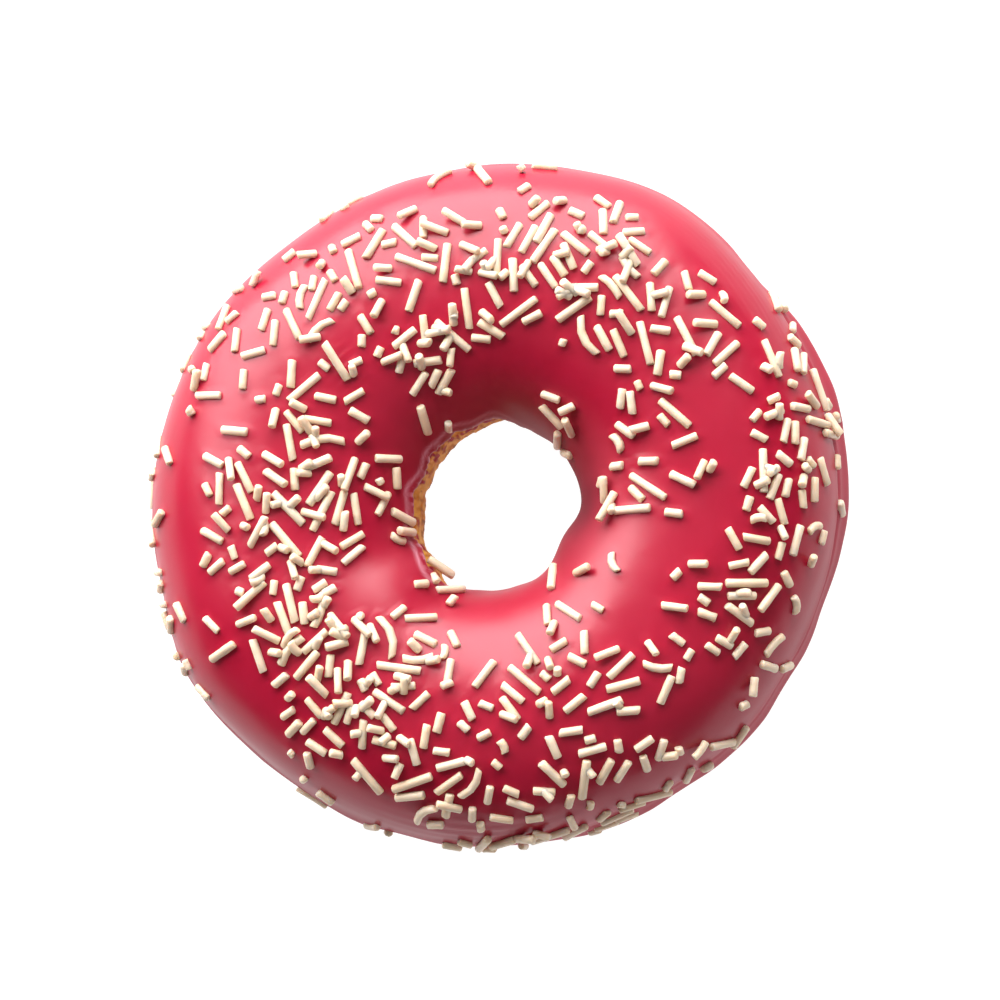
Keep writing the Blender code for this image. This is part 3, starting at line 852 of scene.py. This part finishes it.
def pressed_sugar(strands):
    """Extruded sugar paste, dried and cut: opaque cream, satin, its tone varying from strand to strand."""
    material, tree, shader, place = new_material("extruded sugar paste")
    tone = add_node(tree, "ShaderNodeAttribute", {"attribute_name": "tone"})
    colour = add_node(
        tree,
        "ShaderNodeMix",
        {"data_type": "RGBA", MIX_FIRST: (*strands.colour, 1), MIX_SECOND: (*strands.shade_colour, 1)},
        {MIX_SHARE: tone.outputs["Fac"]},
    )
    tree.links.new(colour.outputs[MIX_RESULT], shader.inputs["Base Color"])
    grain = add_node(
        tree, "ShaderNodeTexNoise", {"Scale": pattern_scale(0.35), "Detail": 3.0}, {"Vector": place}
    )
    bump = add_node(
        tree, "ShaderNodeBump", {"Strength": 0.3, "Distance": 0.0001}, {"Height": grain.outputs["Fac"]}
    )
    tree.links.new(bump.outputs["Normal"], shader.inputs["Normal"])
    shader.inputs["Roughness"].default_value = 0.38
    shader.inputs["IOR"].default_value = 1.5
    shader.inputs["Subsurface Weight"].default_value = 0.5
    shader.inputs["Subsurface Radius"].default_value = (0.0008, 0.0006, 0.0004)
    shader.inputs["Subsurface Scale"].default_value = 1.0
    return material


def lit_acrylic(stage):
    """A light table's white acrylic top: it glows evenly, so that nothing casts a hard shadow on it."""
    material, tree, shader, place = new_material("lit white acrylic")
    haze = add_node(tree, "ShaderNodeTexNoise", {"Scale": pattern_scale(300.0)}, {"Vector": place})
    tint = add_node(
        tree,
        "ShaderNodeMix",
        {"data_type": "RGBA", MIX_FIRST: (*stage.table_dark, 1), MIX_SECOND: (*stage.table_light, 1)},
        {MIX_SHARE: haze.outputs["Fac"]},
    )
    tree.links.new(tint.outputs[MIX_RESULT], shader.inputs["Base Color"])
    shader.inputs["Roughness"].default_value = 0.7
    shader.inputs["Emission Color"].default_value = (1, 1, 1, 1)
    shader.inputs["Emission Strength"].default_value = stage.table_glow
    return material


class DoughnutStage(bpy.types.PropertyGroup):
    """Camera, table and light."""

    distance: bpy.props.FloatProperty(
        name="Distance", description="Camera to doughnut", default=0.6, unit="LENGTH"
    )
    tilt: bpy.props.FloatProperty(
        name="Tilt",
        description="How far the camera leans from straight above",
        default=math.radians(9),
        subtype="ANGLE",
    )
    bearing: bpy.props.FloatProperty(
        name="Bearing", description="Which way it leans", default=math.radians(-38), subtype="ANGLE"
    )
    lens: bpy.props.FloatProperty(name="Lens", description="Focal length in millimetres", default=165.6)
    aim_right: size_property("Aim right", 0.95, "How far right of the doughnut the camera points")
    aim_up: size_property("Aim up", 0.79, "How far above the doughnut, in the picture, the camera points")
    table: size_property("Table", 3000.0, "Width of the table")
    table_dark: colour_property("Dark table", "#616161", "Grey under the table's glow at its darkest")
    table_light: colour_property("Light table", "#696969", "Grey under the table's glow at its lightest")
    table_glow: bpy.props.FloatProperty(
        name="Table glow", description="Light that the table gives", default=1.0
    )
    key_power: bpy.props.FloatProperty(
        name="Key light", description="Power of the wide soft light behind the doughnut", default=38.2
    )
    key_width: size_property("Key width", 1600.0, "Width of the key light")
    key_height: size_property("Key height", 1000.0, "Height of the key light")
    top_power: bpy.props.FloatProperty(
        name="Top light", description="Power of the dim light above", default=1.6
    )
    top_width: size_property("Top width", 1600.0, "Width of the top light")
    fill_power: bpy.props.FloatProperty(
        name="Fill light", description="Power of the fill opposite the key", default=1.3
    )
    fill_width: size_property("Fill width", 800.0, "Width of the fill light")
    room: bpy.props.FloatProperty(name="Room", description="Brightness of the white room", default=0.05)


class DOUGHNUT_OT_crust(bpy.types.Operator):
    """Adds the fried ring."""

    bl_idname = "doughnut.add_crust"
    bl_label = "Add the fried ring"

    def execute(self, context):
        ring, icing = context.scene.doughnut_ring, context.scene.doughnut_icing
        points, browning, stain = crust_surface(ring, icing)
        item = shape_mesh("fried_ring", points, fried_crust(ring, icing))
        set_attribute(item, "browning", browning)
        set_attribute(item, "stain", stain)
        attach(item, "root")
        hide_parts("dough_ring")
        return {"FINISHED"}


class DOUGHNUT_OT_icing(bpy.types.Operator):
    """Adds the icing coat and the sugar strands set in it."""

    bl_idname = "doughnut.add_icing"
    bl_label = "Add the icing and strands"

    def execute(self, context):
        scene = context.scene
        ring, icing, settings = scene.doughnut_ring, scene.doughnut_icing, scene.doughnut_strands
        strands = lay_strands(settings, ring, icing)
        # finish holds the dullness, the pale rim and the painted shade in the hole.
        points, finish = icing_surface(ring, icing, strands)
        coat = shape_mesh("icing_coat", points, set_icing(icing))
        for name, values in finish.items():
            set_attribute(coat, name, values)
        rod_points = strand_surface(strands, settings.seed + 1)
        rods = strand_mesh("sugar_strands", rod_points, pressed_sugar(settings))
        tone = np.random.default_rng(settings.seed + 2).random(len(strands))
        set_attribute(rods, "tone", np.repeat(tone, len(rods.data.vertices) // len(strands)))
        for item, slot in ((coat, "set_icing"), (rods, "sugar_strand")):
            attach(item, "root")
            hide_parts("icing")
        return {"FINISHED"}


class DOUGHNUT_OT_stage(bpy.types.Operator):
    """Adds the lit table, the soft lights and the camera."""

    bl_idname = "doughnut.add_stage"
    bl_label = "Add the stage"

    def execute(self, context):
        scene = context.scene
        stage = scene.doughnut_stage
        side = np.linspace(-stage.table / 2, stage.table / 2, TABLE_STEPS + 1)
        x, y = np.meshgrid(side, side, indexing="ij")
        points = np.stack([x, y, np.full_like(x, TABLE_LEVEL)], axis=-1)
        r, c = np.meshgrid(np.arange(TABLE_STEPS), np.arange(TABLE_STEPS), indexing="ij")
        first = r * (TABLE_STEPS + 1) + c
        quads = np.stack([first, first + TABLE_STEPS + 1, first + TABLE_STEPS + 2, first + 1], axis=-1)
        mesh_object("table", points.reshape(-1, 3), quads.reshape(-1, 4), lit_acrylic(stage))
        self.add_light("key", KEY_PLACE, stage.key_power, stage.key_width, stage.key_height)
        self.add_light("top", TOP_PLACE, stage.top_power, stage.top_width, stage.top_width)
        fill = self.add_light("fill", FILL_PLACE, stage.fill_power, stage.fill_width, stage.fill_width)
        fill.visible_glossy = False
        world = bpy.data.worlds.new("white room")
        world.use_nodes = True
        world.node_tree.nodes["Background"].inputs["Color"].default_value = (1, 1, 1, 1)
        world.node_tree.nodes["Background"].inputs["Strength"].default_value = stage.room
        scene.world = world
        scene.view_settings.view_transform = "Standard"
        self.add_camera(scene, stage)
        return {"FINISHED"}

    def add_light(self, name, place, power, width, height):
        """A flat soft light that faces the doughnut."""
        light = bpy.data.lights.new(name, "AREA")
        light.shape = "RECTANGLE"
        light.energy, light.size, light.size_y = power, width * MM, height * MM
        item = bpy.data.objects.new(name, light)
        item.location = place
        lean = math.atan2(math.hypot(place[0], place[1]), place[2])
        item.rotation_euler = (lean, 0, math.atan2(place[1], place[0]) + math.pi / 2)
        bpy.context.scene.collection.objects.link(item)
        return item

    def add_camera(self, scene, stage):
        """A camera that leans from straight above, with the picture's top towards +Y."""
        lean = np.array(
            [
                math.sin(stage.tilt) * math.cos(stage.bearing),
                math.sin(stage.tilt) * math.sin(stage.bearing),
                math.cos(stage.tilt),
            ]
        )
        right = unit(np.cross(np.array([0.0, 1.0, 0.0]), lean))
        up = np.cross(lean, right)
        target = np.array([0.0, 0.0, CAMERA_TARGET_HEIGHT])
        aim = (target + stage.aim_right * right + stage.aim_up * up) * MM
        camera = bpy.data.cameras.new("camera")
        camera.lens, camera.sensor_width = stage.lens, SENSOR_WIDTH
        item = bpy.data.objects.new("camera", camera)
        turn = np.eye(4)
        turn[:3, 0], turn[:3, 1], turn[:3, 2], turn[:3, 3] = right, up, lean, aim + stage.distance * lean
        item.matrix_world = turn.T
        scene.collection.objects.link(item)
        scene.camera = item


class DOUGHNUT_PT_sidebar(bpy.types.Panel):
    """Lists the steps and the settings."""

    bl_label = "Sprinkle frosted doughnut"
    bl_space_type = "VIEW_3D"
    bl_region_type = "UI"
    bl_category = "Doughnut"

    def draw(self, context):
        for operator, groups in STEPS:
            self.layout.operator(operator.bl_idname)
            for group in (getattr(context.scene, name) for name in groups):
                for name in group.__annotations__:
                    self.layout.prop(group, name)


GROUPS = {
    "doughnut_ring": DoughnutRing,
    "doughnut_icing": DoughnutIcing,
    "doughnut_strands": DoughnutStrands,
    "doughnut_stage": DoughnutStage,
}
STEPS = (
    (DOUGHNUT_OT_crust, ("doughnut_ring",)),
    (DOUGHNUT_OT_icing, ("doughnut_icing", "doughnut_strands")),
    (DOUGHNUT_OT_stage, ("doughnut_stage",)),
)
CLASSES = (*GROUPS.values(), *(operator for operator, _ in STEPS), DOUGHNUT_PT_sidebar)


def register():
    for item in CLASSES:
        bpy.utils.register_class(item)
    for name, group in GROUPS.items():
        setattr(bpy.types.Scene, name, bpy.props.PointerProperty(type=group))


def unregister():
    for name in GROUPS:
        delattr(bpy.types.Scene, name)
    for item in reversed(CLASSES):
        bpy.utils.unregister_class(item)


def main():
    register()
    bpy.ops.doughnut.add_crust()
    bpy.ops.doughnut.add_icing()
    bpy.ops.doughnut.add_stage()


if __name__ == "__main__":
    main()
